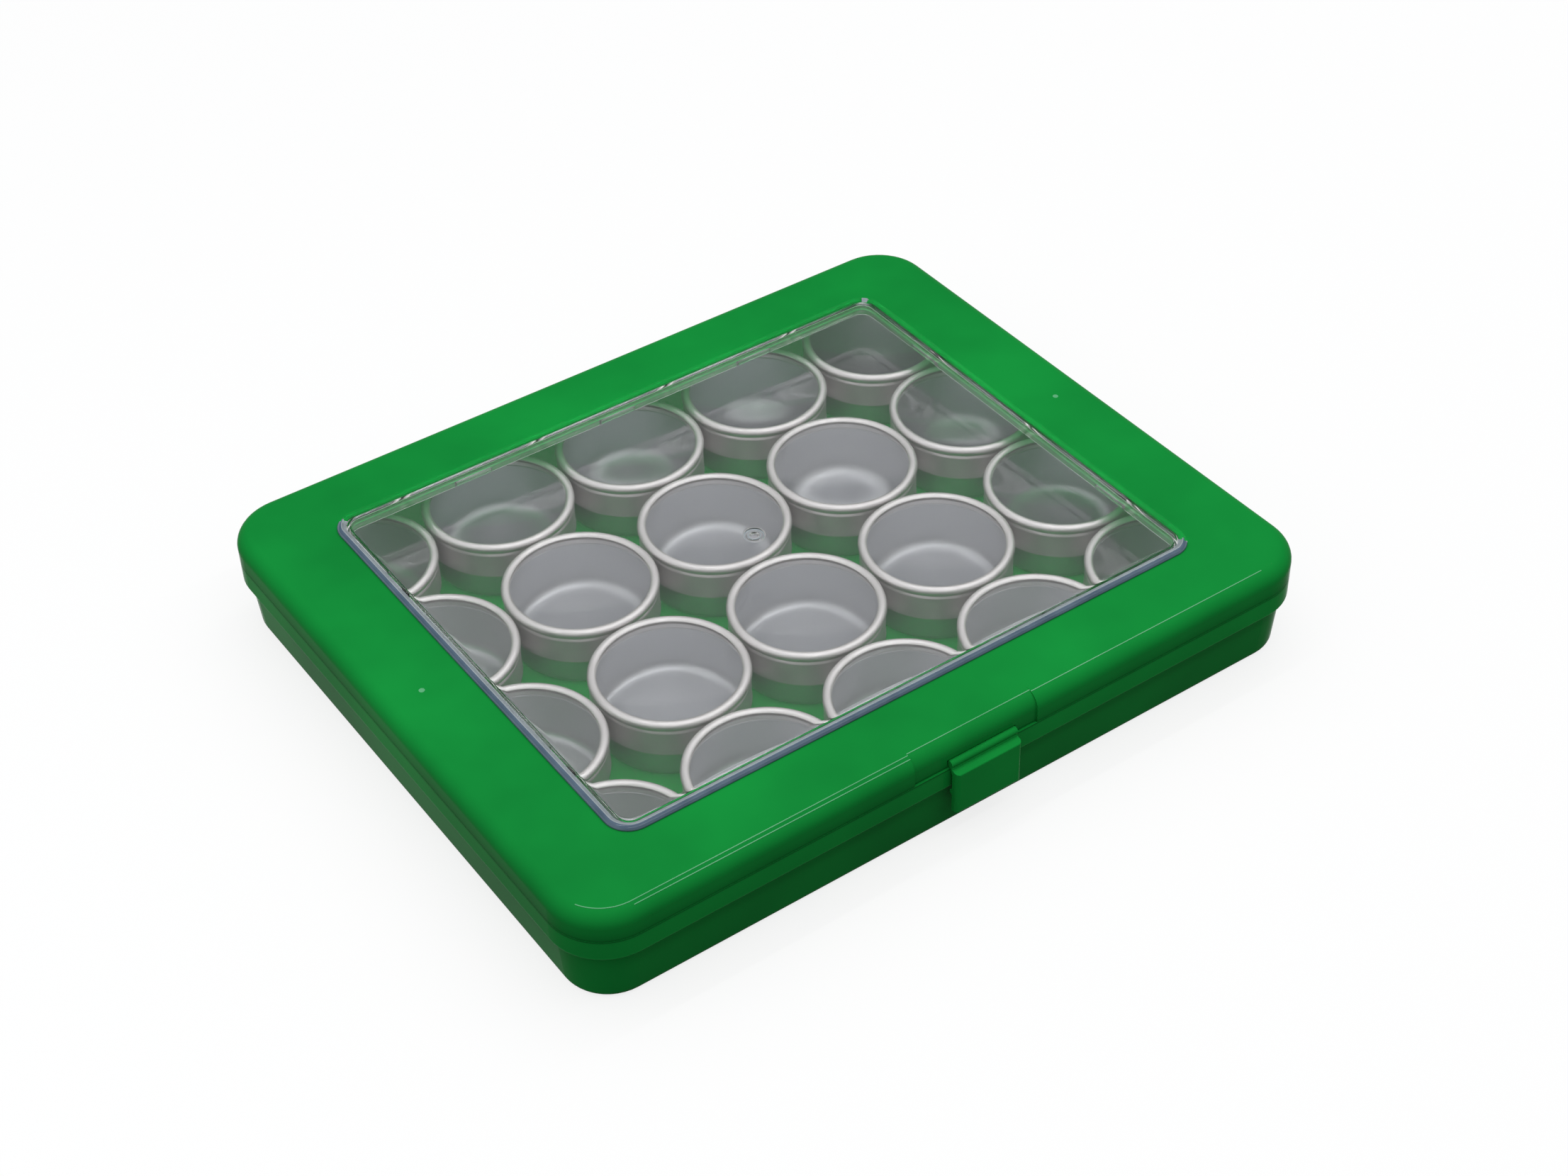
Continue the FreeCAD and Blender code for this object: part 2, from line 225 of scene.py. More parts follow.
def mouldedGreen(name, tones, bands=((0, 1), (1, 1)), glow=0):
    # moulded polystyrene: even deep green, a soft gloss and a faint orange-peel skin;
    # bands are heights in mm with a level for the seam and edges, painted shade below 1 and
    # painted highlight above 1;
    # glow paints light on the faces inside the box, an emission standing in for light through thin
    # walls
    look = {
        "mottleMm": 30, "mottleDetail": 3.0, "tonesAt": (0.3, 0.7), "rough": (0.07, 0.12),
        "skinMm": 1.4, "skinDetail": 2.0, "skinBump": 0.03, "skinDepthMm": 0.05,
        "ior": 1.5, "specular": 0.004, "tallMm": 23.0, "through": "12a04c",
        "cornersMm": (69.3, 54.9, 100), "insideRadiusMm": 8.5,
        "insideMiddleMm": 11.0, "insideHalfMm": 9.5,
    }
    material, tree, output = newMaterial(name)
    place = addNode(tree, "ShaderNodeTexCoord")
    cloud = addNode(tree, "ShaderNodeTexNoise",
                    {"Scale": 1 / (look["mottleMm"] * mm), "Detail": look["mottleDetail"]},
                    {"Vector": place.outputs["Object"]})
    tint = addNode(tree, "ShaderNodeValToRGB", {}, {"Fac": cloud.outputs["Fac"]})
    setTones(tint.color_ramp, tones, look["tonesAt"])
    peel = addNode(tree, "ShaderNodeTexNoise",
                   {"Scale": 1 / (look["skinMm"] * mm), "Detail": look["skinDetail"]},
                   {"Vector": place.outputs["Object"]})
    gloss = addNode(tree, "ShaderNodeMapRange",
                    {"To Min": look["rough"][0], "To Max": look["rough"][1]},
                    {"Value": cloud.outputs["Fac"]})
    bump = addNode(tree, "ShaderNodeBump",
                   {"Strength": look["skinBump"], "Distance": look["skinDepthMm"] * mm},
                   {"Height": peel.outputs["Fac"]})
    height = addNode(tree, "ShaderNodeSeparateXYZ", {}, {"Vector": place.outputs["Object"]})
    rise = addNode(tree, "ShaderNodeMath", {"operation": "DIVIDE", 1: look["tallMm"] * mm},
                   {0: height.outputs["Z"]})
    # painted shade and painted highlight: the band levels scale the colour by height
    shade = addNode(tree, "ShaderNodeValToRGB", {}, {"Fac": rise.outputs["Value"]})
    setShades(shade.color_ramp, [(z / look["tallMm"], level) for z, level in bands])
    shaded = addNode(tree, "ShaderNodeVectorMath", {"operation": "MULTIPLY"},
                     {0: tint.outputs["Color"], 1: shade.outputs["Color"]})
    shader = addNode(tree, "ShaderNodeBsdfPrincipled",
                     {"IOR": look["ior"], "Specular IOR Level": look["specular"]},
                     {"Base Color": shaded.outputs["Vector"], "Roughness": gloss.outputs["Result"],
                      "Normal": bump.outputs["Normal"]})
    if glow:
        # painted glow mask: 1 inside a rounded rectangle just within the outer wall, above the
        # floor's underside
        away = addNode(tree, "ShaderNodeVectorMath", {"operation": "ABSOLUTE"},
                       {0: place.outputs["Object"]})
        past = addNode(tree, "ShaderNodeVectorMath",
                       {"operation": "SUBTRACT", 1: Vector(look["cornersMm"]) * mm},
                       {0: away.outputs["Vector"]})
        over = addNode(tree, "ShaderNodeVectorMath", {"operation": "MAXIMUM", 1: (0, 0, 0)},
                       {0: past.outputs["Vector"]})
        reach = addNode(tree, "ShaderNodeVectorMath", {"operation": "LENGTH"},
                        {0: over.outputs["Vector"]})
        within = addNode(tree, "ShaderNodeMath",
                         {"operation": "LESS_THAN", 1: look["insideRadiusMm"] * mm},
                         {0: reach.outputs["Value"]})
        between = addNode(tree, "ShaderNodeMath",
                          {"operation": "COMPARE", 1: look["insideMiddleMm"] * mm,
                           2: look["insideHalfMm"] * mm}, {0: height.outputs["Z"]})
        both = addNode(tree, "ShaderNodeMath", {"operation": "MULTIPLY"},
                       {0: within.outputs["Value"], 1: between.outputs["Value"]})
        light = addNode(tree, "ShaderNodeMath", {"operation": "MULTIPLY", 1: glow},
                        {0: both.outputs["Value"]})
        # painted glow: a green emission in place of light through the thin walls
        shader.inputs["Emission Color"].default_value = hexToLinear(look["through"])
        tree.links.new(light.outputs["Value"], shader.inputs["Emission Strength"])
    tree.links.new(shader.outputs["BSDF"], output.inputs["Surface"])
    return material


def spunAluminium(name, tones, rough):
    # pressed and spun aluminium: satin grey with fine turning lines round the tin's own axis
    look = {"lineMm": 0.35, "lineDetail": 2.0, "lineShare": 0.5, "lineBump": 0.03,
            "lineDepthMm": 0.02, "smearMm": 6, "smearDetail": 3.0, "roughFrom": (0.3, 1.2),
            "metallic": 0.9}
    material, tree, output = newMaterial(name)
    place = addNode(tree, "ShaderNodeAttribute", {"attribute_name": "tinLocal"})
    split = addNode(tree, "ShaderNodeSeparateXYZ", {}, {"Vector": place.outputs["Vector"]})
    flat = addNode(tree, "ShaderNodeCombineXYZ", {},
                   {"X": split.outputs["X"], "Y": split.outputs["Y"]})
    radius = addNode(tree, "ShaderNodeVectorMath", {"operation": "LENGTH"},
                     {0: flat.outputs["Vector"]})
    rings = addNode(tree, "ShaderNodeCombineXYZ", {},
                    {"X": radius.outputs["Value"], "Y": split.outputs["Z"]})
    lines = addNode(tree, "ShaderNodeTexNoise",
                    {"Scale": 1 / (look["lineMm"] * mm), "Detail": look["lineDetail"]},
                    {"Vector": rings.outputs["Vector"]})
    smear = addNode(tree, "ShaderNodeTexNoise",
                    {"Scale": 1 / (look["smearMm"] * mm), "Detail": look["smearDetail"]},
                    {"Vector": place.outputs["Vector"]})
    both = addNode(tree, "ShaderNodeMath", {"operation": "MULTIPLY_ADD", 1: look["lineShare"]},
                   {0: lines.outputs["Fac"], 2: smear.outputs["Fac"]})
    tint = addNode(tree, "ShaderNodeValToRGB", {}, {"Fac": smear.outputs["Fac"]})
    setTones(tint.color_ramp, tones)
    gloss = addNode(tree, "ShaderNodeMapRange",
                    {"From Min": look["roughFrom"][0], "From Max": look["roughFrom"][1],
                     "To Min": rough[0], "To Max": rough[1]},
                    {"Value": both.outputs["Value"]})
    bump = addNode(tree, "ShaderNodeBump",
                   {"Strength": look["lineBump"], "Distance": look["lineDepthMm"] * mm},
                   {"Height": lines.outputs["Fac"]})
    shader = addNode(tree, "ShaderNodeBsdfPrincipled", {"Metallic": look["metallic"]},
                     {"Base Color": tint.outputs["Color"], "Roughness": gloss.outputs["Result"],
                      "Normal": bump.outputs["Normal"]})
    tree.links.new(shader.outputs["BSDF"], output.inputs["Surface"])
    return material


def clearPlate(name, tint, hazeMm, rough, ior):
    # clear moulded plate: lamps shine through it, and a little haze lies on its surface
    look = {"hazeDetail": 3.0, "clear": 1.0}
    material, tree, output = newMaterial(name)
    place = addNode(tree, "ShaderNodeTexCoord")
    haze = addNode(tree, "ShaderNodeTexNoise",
                   {"Scale": 1 / (hazeMm * mm), "Detail": look["hazeDetail"]},
                   {"Vector": place.outputs["Object"]})
    gloss = addNode(tree, "ShaderNodeMapRange", {"To Min": rough[0], "To Max": rough[1]},
                    {"Value": haze.outputs["Fac"]})
    shader = addNode(tree, "ShaderNodeBsdfPrincipled",
                     {"Base Color": hexToLinear(tint), "IOR": ior,
                      "Transmission Weight": look["clear"]},
                     {"Roughness": gloss.outputs["Result"]})
    through = addNode(tree, "ShaderNodeBsdfTransparent", {"Color": hexToLinear(tint)})
    ray = addNode(tree, "ShaderNodeLightPath")
    mix = addNode(tree, "ShaderNodeMixShader", {},
                  {0: ray.outputs["Is Shadow Ray"], 1: shader.outputs["BSDF"],
                   2: through.outputs["BSDF"]})
    tree.links.new(mix.outputs["Shader"], output.inputs["Surface"])
    return material


def paintedEdgeReflection(name, tones):
    # rolled edge of the clear plate, opaque: a cool grey painted reflection, and on its crest a
    # pale painted highlight line
    look = {"streakMm": 4, "streakDetail": 2.0, "ior": 1.49, "rough": 0.16}
    material, tree, output = newMaterial(name)
    place = addNode(tree, "ShaderNodeTexCoord")
    streak = addNode(tree, "ShaderNodeTexNoise",
                     {"Scale": 1 / (look["streakMm"] * mm), "Detail": look["streakDetail"]},
                     {"Vector": place.outputs["Object"]})
    tint = addNode(tree, "ShaderNodeValToRGB", {}, {"Fac": streak.outputs["Fac"]})
    setTones(tint.color_ramp, tones)
    shader = addNode(tree, "ShaderNodeBsdfPrincipled",
                     {"IOR": look["ior"], "Roughness": look["rough"]},
                     {"Base Color": tint.outputs["Color"]})
    tree.links.new(shader.outputs["BSDF"], output.inputs["Surface"])
    return material


def drawnSteel(name, tones, rough):
    # drawn steel wire: grey, with fine lines along the pin
    look = {"alongMm": 25, "acrossMm": 0.625, "lineDetail": 2.0, "metallic": 1.0}
    material, tree, output = newMaterial(name)
    place = addNode(tree, "ShaderNodeTexCoord")
    across = 1 / (look["acrossMm"] * mm)
    along = addNode(tree, "ShaderNodeMapping",
                    {"Scale": (1 / (look["alongMm"] * mm), across, across)},
                    {"Vector": place.outputs["Object"]})
    lines = addNode(tree, "ShaderNodeTexNoise", {"Scale": 1.0, "Detail": look["lineDetail"]},
                    {"Vector": along.outputs["Vector"]})
    tint = addNode(tree, "ShaderNodeValToRGB", {}, {"Fac": lines.outputs["Fac"]})
    setTones(tint.color_ramp, tones)
    gloss = addNode(tree, "ShaderNodeMapRange", {"To Min": rough[0], "To Max": rough[1]},
                    {"Value": lines.outputs["Fac"]})
    shader = addNode(tree, "ShaderNodeBsdfPrincipled", {"Metallic": look["metallic"]},
                     {"Base Color": tint.outputs["Color"], "Roughness": gloss.outputs["Result"]})
    tree.links.new(shader.outputs["BSDF"], output.inputs["Surface"])
    return material


boxTones = ("148236", "18953e")
greenPlastic = mouldedGreen("mouldedGreenPolystyrene", boxTones)
# painted light on the tray: painted shade darker towards the tub's bottom, a painted highlight
# along the flange's lower edge, a painted shade line at the seam, and a painted glow on the faces
# inside the box
trayGreenPaintedLight = mouldedGreen("mouldedGreenTrayPaintedLight", boxTones, bands=(
    (0, 0.86), (11.2, 0.9),  # tub
    (11.5, 1.25), (11.95, 1.2), (12.2, 1.0),  # pale lower edge of the flange
    (15.0, 1.05), (15.6, 1.0), (15.8, 0.5), (15.94, 0.5), (16.0, 1.0),  # dark line at the seam
), glow=0.22)
# painted light on the lid: painted shade on the wall, darkest just above the seam, and a painted
# glow on the faces inside the box
lidGreenPaintedLight = mouldedGreen("mouldedGreenLidPaintedLight", boxTones, bands=(
    (16.15, 1.0), (16.2, 0.45), (16.5, 0.74), (18.0, 0.92), (20.0, 1.0),  # wall above the seam
), glow=0.6)
# painted highlight on the two gate scars of the lid
scarGreenPaintedHighlight = mouldedGreen("gateScarPaintedHighlight", ("4f9f6c", "6ab885"))
# painted highlight: pale green for the lines along the lid's front edge
paintedHighlightGreen = mouldedGreen("paintedHighlightEdgeGreen", ("62b47e", "86cc9e"))
cupMetal = spunAluminium("spunAluminiumCup", ("bbbcc0", "c7c8cc"), (0.34, 0.46))
capMetal = spunAluminium("spunAluminiumCap", ("c6c2c2", "d2cece"), (0.32, 0.44))
windowClear = clearPlate("clearPolystyrene", "fcfdfd", 9, (0.03, 0.07), 1.49)
# painted reflection: cool grey on the window's rolled edge
windowEdgePaintedReflection = paintedEdgeReflection("clearEdgePaintedReflection", ("3f5366", "64778a"))
# the far and right edges bend little light, so that the frame shows through them
windowRim = clearPlate("clearPolystyreneRim", "fcfdfd", 9, (0.03, 0.07), 1.03)
# painted highlight: pale line on the window edge's crest and on the gate mark's rings
windowCrestPaintedHighlight = paintedEdgeReflection("clearCrestPaintedHighlight", ("848f96", "abb4b9"))
discClear = clearPlate("clearDisc", "fcfcfc", 5, (0.02, 0.04), 1.5)
pinSteel = drawnSteel("drawnSteelWire", ("8c8c8e", "c4c4c6"), (0.25, 0.45))
print("materials ready")


# green box and hinge pins: the CAD solids with a finish

for nodeName, finish in (("base_tray", trayGreenPaintedLight), ("lid_frame", lidGreenPaintedLight),
                         ("front_latch", greenPlastic), ("hinge_pin_left", pinSteel),
                         ("hinge_pin_right", pinSteel)):
    cadNodes[nodeName].data.materials.clear()
    cadNodes[nodeName].data.materials.append(finish)
print("box finished")


# tins: one spin tree, used for each cup, cap ring and clear disc

tin = {
    "columns": 5, "rows": 4, "pitch": 30.5, "bottom": 1.65, "segments": 96, "path": 10.0,
    "cupRadius": 14.2, "cupTop": 9.9, "cupWall": 0.5, "cupCorner": 1.5, "cupSteps": 8,
    "cupRim": 0.2, "foot": 0.15, "footSlope": (2.8, 2.4), "footRound": 0.3,
    "skirtOuter": 14.75, "skirtInner": 14.3, "skirtBottom": 5.9, "seat": 10.0,
    # steps of the cap's line, outwards and up: from the skirt's two lower corners, and
    # from the skirt's outside at the height of the bead's centre
    "hemInner": ((0, 0.12), (0.06, 0.02), (0.22, 0)),
    "hemOuter": ((0.02, 0.03), (0.08, 0.12), (0.08, 0.26), (0, 0.40)),
    "neck": ((0, -1.56), (-0.05, -1.34), (-0.22, -1.11), (-0.28, -0.96)),
    "bead": 0.94, "beadCentre": (14.06, 12.46), "beadArc": (-62, 150, 8),
    "lipInner": 13.3, "ledgeInner": 13.25, "ledgeDrop": 0.76, "backInner": 13.85, "backDrop": 1.26,
    "discRadius": 13.75, "discTop": 12.9, "discBottom": 11.95, "discGap": 0.03,
    "discRound": 0.12, "discSteps": 4,
}


def spinTree():
    tree, given = newTree("spinTin", {
        "Profile": "Object", "Segments": "Int", "Path radius": "Float", "Centre": "Vector",
        "Finish": "Material",
    })
    outline = addNode(tree, "GeometryNodeObjectInfo", {}, {"Object": given.outputs["Profile"]})
    section = addNode(tree, "GeometryNodeMeshToCurve", {}, {"Mesh": outline.outputs["Geometry"]})
    # the section's x is set out from the path's circle, its y runs down
    path = addNode(tree, "GeometryNodeCurvePrimitiveCircle", {},
                   {"Resolution": given.outputs["Segments"],
                    "Radius": given.outputs["Path radius"]})
    upright = addNode(tree, "GeometryNodeSetCurveNormal", {"mode": "Z_UP"},
                      {"Curve": path.outputs["Curve"]})
    skin = addNode(tree, "GeometryNodeCurveToMesh", {},
                   {"Curve": upright.outputs["Curve"], "Profile Curve": section.outputs["Curve"]})
    spot = addNode(tree, "GeometryNodeInputPosition")
    local = addNode(tree, "GeometryNodeStoreNamedAttribute",
                    {"data_type": "FLOAT_VECTOR", "domain": "POINT", "Name": "tinLocal"},
                    {"Geometry": skin.outputs["Mesh"], "Value": spot.outputs["Position"]})
    moved = addNode(tree, "GeometryNodeTransform", {},
                    {"Geometry": local.outputs["Geometry"],
                     "Translation": given.outputs["Centre"]})
    return endTree(tree, moved.outputs["Geometry"], given.outputs["Finish"])


def spinSection(name, points, closed=False):
    # section in the spin tree's terms
    return lineObject(name, [((u - tin["path"]) * mm, -v * mm, 0) for u, v in points], closed)


def cupLine():
    outer, wall = tin["cupRadius"], tin["cupWall"]
    slopeIn, slopeOut = tin["footSlope"]
    return roundProfile([
        (0, tin["foot"], 0),
        (outer - slopeIn, tin["foot"], tin["footRound"]),
        (outer - slopeOut, 0, tin["footRound"]),
        (outer, 0, tin["cupCorner"]),
        (outer, tin["cupTop"], tin["cupRim"]),
        (outer - wall, tin["cupTop"], tin["cupRim"]),
        (outer - wall, wall, tin["cupCorner"]),
        (0, wall, 0),
    ], tin["cupSteps"])


def capLine():
    # up the skirt, over the bead, round the slot that holds the disc and back to the seat
    inner, outer, low = tin["skirtInner"], tin["skirtOuter"], tin["skirtBottom"]
    beadR, beadZ = tin["beadCentre"]
    gap = tin["discGap"]
    slotR = tin["discRadius"] + gap
    slotTop, slotLow = tin["discTop"] + gap, tin["discBottom"] - gap
    line = [(inner, tin["seat"])]
    line += [(inner + out, low + up) for out, up in tin["hemInner"]]
    line += [(outer + out, low + up) for out, up in tin["hemOuter"]]
    line += [(outer + out, beadZ + up) for out, up in tin["neck"]]
    for angle in range(*tin["beadArc"]):
        turn = math.radians(angle)
        line.append((beadR + tin["bead"] * math.cos(turn), beadZ + tin["bead"] * math.sin(turn)))
    return line + [
        (tin["lipInner"], slotTop), (slotR, slotTop), (slotR, slotLow),
        (tin["ledgeInner"], slotLow), (tin["ledgeInner"], beadZ - tin["ledgeDrop"]),
        (tin["backInner"], beadZ - tin["backDrop"]), (tin["backInner"], tin["seat"]),
    ]


def discLine():
    return roundProfile([
        (0, tin["discBottom"], 0),
        (tin["discRadius"], tin["discBottom"], tin["discRound"]),
        (tin["discRadius"], tin["discTop"], tin["discRound"]),
        (0, tin["discTop"], 0),
    ], tin["discSteps"])


spin = spinTree()
cupSection = spinSection("cupSection", cupLine())
capSection = spinSection("capSection", capLine(), True)
discSection = spinSection("discSection", discLine())
tinPieces = (
    ("cup", cupSection, cupMetal, "tin_", "tin_cup_", "cup_aluminium"),
    ("capRing", capSection, capMetal, "cap_", "tin_cap_", "cap_aluminium"),
    ("capDisc", discSection, discClear, "cap_", "tin_cap_", "window_clear"),
)
for row in range(tin["rows"]):
    for column in range(tin["columns"]):
        tag = f"{row * tin['columns'] + column + 1:02d}"
        centre = Vector((
            (column - (tin["columns"] - 1) / 2) * tin["pitch"],
            (row - (tin["rows"] - 1) / 2) * tin["pitch"],
            tin["bottom"],
        )) * mm
        for kind, section, finish, body, node, slotName in tinPieces:
            sizes = {"Profile": section, "Segments": tin["segments"], "Centre": centre,
                     "Path radius": tin["path"] * mm, "Finish": finish}
            mesh = bakeTree(spin, sizes, f"{kind}_{tag}")
            addPiece(f"{kind}_{tag}", mesh, (), body + tag, (node + tag,))
for section in (cupSection, capSection, discSection):
    bpy.data.objects.remove(section)
print("tins ready")


# window: clear plate with a plug rim, snap lugs and a gate mark

window = {
    "halfX": 63.7, "halfY": 51.6, "corner": 5.0, "cornerSteps": 10, "smoothAngle": 50,
    "seatZ": 22.05, "topZ": 22.9, "plate": 1.2, "edgeRise": 0.75, "edgeRun": 1.25, "edgeStep": 10,
    "plugOut": 1.75, "plugIn": 2.45, "plugBottom": 19.1, "plugRound": 0.15, "seatRound": 0.06,
    "plugFillet": (0.25, 0.07), "fieldIn": 0.8,
    # insets of the grey edge line, a painted reflection, and of the pale crest, a painted
    # highlight
    "edgeLine": 0.75, "crest": (0.86, 1.08),
    # moulding gate, a shallow moat round a low nub: radius and rise of each ring; the rings
    # at the moat's outer slope and the nub's tip carry the crest's painted highlight
    "gateAt": (-1.4, -0.6),
    "gate": ((3.0, 0), (2.6, 0), (2.3, 0), (2.1, -0.02), (1.95, -0.16), (1.75, -0.30),
             (1.5, -0.30), (1.3, -0.14), (1.1, -0.05), (0.9, -0.12), (0.7, -0.30), (0.4, -0.34)),
    "gateGlint": (1.75, 1.1), "seatSlack": 0.01,
}
windowFinishes = (windowClear, windowEdgePaintedReflection, windowCrestPaintedHighlight, windowRim)
clearSlot, edgeSlot, crestSlot, rimSlot = range(len(windowFinishes))


def windowLoop(inset, z):
    return roundedLoop(window["halfX"] - inset, window["halfY"] - inset,
                       window["corner"] - inset, z, window["cornerSteps"])


def windowSection():
    # (inset, z) points from the plate's underside, round the plug rim and over the edge
    underZ = window["topZ"] - window["plate"]
    plugIn, plugOut, plugZ = window["plugIn"], window["plugOut"], window["plugBottom"]
    bend, seatZ, nick = window["plugRound"], window["seatZ"], window["seatRound"]
    wide, slim = window["plugFillet"]
    field = plugIn + window["fieldIn"]
    section = [
        (field, underZ), (plugIn + wide, underZ), (plugIn + slim, underZ - slim),
        (plugIn, underZ - wide), (plugIn, plugZ + bend), (plugIn - bend, plugZ),
        (plugOut + bend, plugZ), (plugOut, plugZ + bend), (plugOut, seatZ),
        (nick, seatZ), (0, seatZ + nick),
    ]
    # the plate's edge rises steeply and then rolls over to the flat
    for angle in range(0, 91, window["edgeStep"]):
        turn = math.radians(angle)
        section.append((window["edgeRun"] * (1 - math.cos(turn)),
                        window["topZ"] - window["edgeRise"] * (1 - math.sin(turn))))
    return section + [(field, window["topZ"])]


def windowMesh():
    section = windowSection()
    bands = []
    for (inset, z), (nextInset, _) in zip(section, section[1:]):
        middle = (inset + nextInset) / 2
        slot = clearSlot
        if z >= window["seatZ"] and middle < window["edgeLine"]:
            slot = edgeSlot
        elif z >= window["seatZ"] and window["crest"][0] < middle < window["crest"][1]:
            slot = crestSlot
        bands.append(slot)
    loops = [windowLoop(inset, z) for inset, z in section]
    shift = Vector((*window["gateAt"], 0)) * mm
    for radius, rise in window["gate"]:
        ring = roundedLoop(radius, radius, radius, window["topZ"] + rise, window["cornerSteps"])
        loops.append([point + shift for point in ring])
        bands.append(crestSlot if radius in window["gateGlint"] else clearSlot)
    mesh = loftMesh("lidWindow", loops, bands)
    # only the edges by the latch and on the left keep the painted grey reflection, the others show
    # the frame through
    for quad in mesh.polygons:
        x, y, z = quad.center / mm
        inX, inY = window["halfX"] - abs(x), window["halfY"] - abs(y)
        onRim = min(inX, inY) < window["plugOut"] and z > window["seatZ"] - window["seatSlack"]
        if onRim and (x if inX < inY else y) > 0:
            quad.material_index = rimSlot
    return mesh


lug = {"length": 8.0, "depth": 1.45, "height": 1.0, "low": 19.1, "reachX": 62.8, "reachY": 50.7,
       "pitchX": 33.2, "offsetY": 29.0, "bevel": 0.15, "bevelSteps": 2, "bevelProfile": 0.5}


def lugTree():
    # one bevelled lug on every point, turned by the point's own aim
    tree, given = newTree("snapLugs", {"Spots": "Object", "Lug": "Object", "Finish": "Material"})
    spots = addNode(tree, "GeometryNodeObjectInfo", {}, {"Object": given.outputs["Spots"]})
    shape = addNode(tree, "GeometryNodeObjectInfo", {}, {"Object": given.outputs["Lug"]})
    aim = addNode(tree, "GeometryNodeInputNamedAttribute",
                  {"data_type": "FLOAT_VECTOR", "Name": "aim"})
    placed = addNode(tree, "GeometryNodeInstanceOnPoints", {},
                     {"Points": spots.outputs["Geometry"], "Instance": shape.outputs["Geometry"],
                      "Rotation": aim.outputs["Attribute"]})
    return endTree(tree, placed.outputs["Instances"], given.outputs["Finish"])


def lugMesh():
    # the lug's outer face is at y 0 and its underside at z 0
    work = bmesh.new()
    bmesh.ops.create_cube(work, size=1.0)
    for vert in work.verts:
        vert.co = Vector((vert.co.x * lug["length"], (vert.co.y + 0.5) * lug["depth"],
                          (vert.co.z + 0.5) * lug["height"])) * mm
    bmesh.ops.bevel(work, geom=work.edges[:], offset=lug["bevel"] * mm, affect="EDGES",
                    segments=lug["bevelSteps"], profile=lug["bevelProfile"])
    mesh = bpy.data.meshes.new("lug")
    work.to_mesh(mesh)
    work.free()
    return mesh


def lugSpots():
    spots = []
    for side, turn in ((-1, 0), (1, math.pi)):
        spots += [((step * lug["pitchX"], side * lug["reachY"]), turn) for step in (-1, 0, 1)]
    for side, turn in ((-1, -math.pi / 2), (1, math.pi / 2)):
        spots += [((side * lug["reachX"], step * lug["offsetY"]), turn) for step in (-1, 1)]
    mesh = bpy.data.meshes.new("lugSpots")
    mesh.from_pydata([Vector((*place, lug["low"])) * mm for place, turn in spots], [], [])
    aim = mesh.attributes.new("aim", "FLOAT_VECTOR", "POINT")
    for index, (place, turn) in enumerate(spots):
        aim.data[index].vector = (0, 0, turn)
    return mesh


lugHelpers = {"Spots": addObject("lugSpots", lugSpots()), "Lug": addObject("lug", lugMesh())}
lugs = bakeTree(lugTree(), {**lugHelpers, "Finish": windowClear}, "windowLugs")
for helper in lugHelpers.values():
    bpy.data.objects.remove(helper)

addPiece("lidWindow", windowMesh(), windowFinishes, "lid", ("lid_window",),
         smoothAngle=window["smoothAngle"])
addPiece("windowLugs", lugs, (), "lid", ("lid_window",))
print("window ready")


# painted highlight lines: pale lines on the lid's front edge where its flat top rolls over

paintedHighlight = {
    "halfX": 80.3, "halfY": 65.9, "corner": 11.0, "edgeRadius": 3.0, "topZ": 22.0,
    "lineRadius": 0.09, "sides": 8, "thinEnd": 0.08, "stepMm": 1.5, "cornerArc": (208, 270, 4),
    # tilt of the edge's face, x from and to, how far it is set back, whether it rounds the
    # corner, and where along it the line has faded in and starts to fade out
    "lines": {
        "rubbedUpperLeft": (73, -69.3, -13.5, 0, True, (0.12, 0.995)),
        "rubbedUpperScoop": (73, -13.5, 13.5, 0.4, False, (0.01, 0.99)),
        "rubbedUpperRight": (73, 13.5, 68.0, 0, False, (0.01, 0.7)),
        "rubbedLowerLeft": (58, -69.3, -13.5, 0, False, (0.35, 0.97)),
    },
}


def paintedHighlightTree():
    # painted highlight: a round line along a path, thin at both ends
    tree, given = newTree("paintedHighlightLine", {
        "Path": "Object", "Line radius": "Float", "Sides": "Int", "Thin end": "Float",
        "Fade in": "Float", "Fade out": "Float", "Finish": "Material",
    })
    route = addNode(tree, "GeometryNodeObjectInfo", {}, {"Object": given.outputs["Path"]})
    bare = addNode(tree, "GeometryNodeMeshToCurve", {}, {"Mesh": route.outputs["Geometry"]})
    along = addNode(tree, "GeometryNodeSplineParameter")
    rising = addNode(tree, "ShaderNodeMapRange", {},
                     {"Value": along.outputs["Factor"], "From Max": given.outputs["Fade in"],
                      "To Min": given.outputs["Thin end"]})
    falling = addNode(tree, "ShaderNodeMapRange", {"From Min": 1.0},
                      {"Value": along.outputs["Factor"], "From Max": given.outputs["Fade out"],
                       "To Min": given.outputs["Thin end"]})
    width = addNode(tree, "ShaderNodeMath", {"operation": "MINIMUM"},
                    {0: rising.outputs["Result"], 1: falling.outputs["Result"]})
    line = addNode(tree, "GeometryNodeSetCurveRadius", {},
                   {"Curve": bare.outputs["Curve"], "Radius": width.outputs["Value"]})
    section = addNode(tree, "GeometryNodeCurvePrimitiveCircle", {},
                      {"Resolution": given.outputs["Sides"],
                       "Radius": given.outputs["Line radius"]})
    skin = addNode(tree, "GeometryNodeCurveToMesh", {"Fill Caps": True},
                   {"Curve": line.outputs["Curve"], "Profile Curve": section.outputs["Curve"]})
    return endTree(tree, skin.outputs["Mesh"], given.outputs["Finish"])


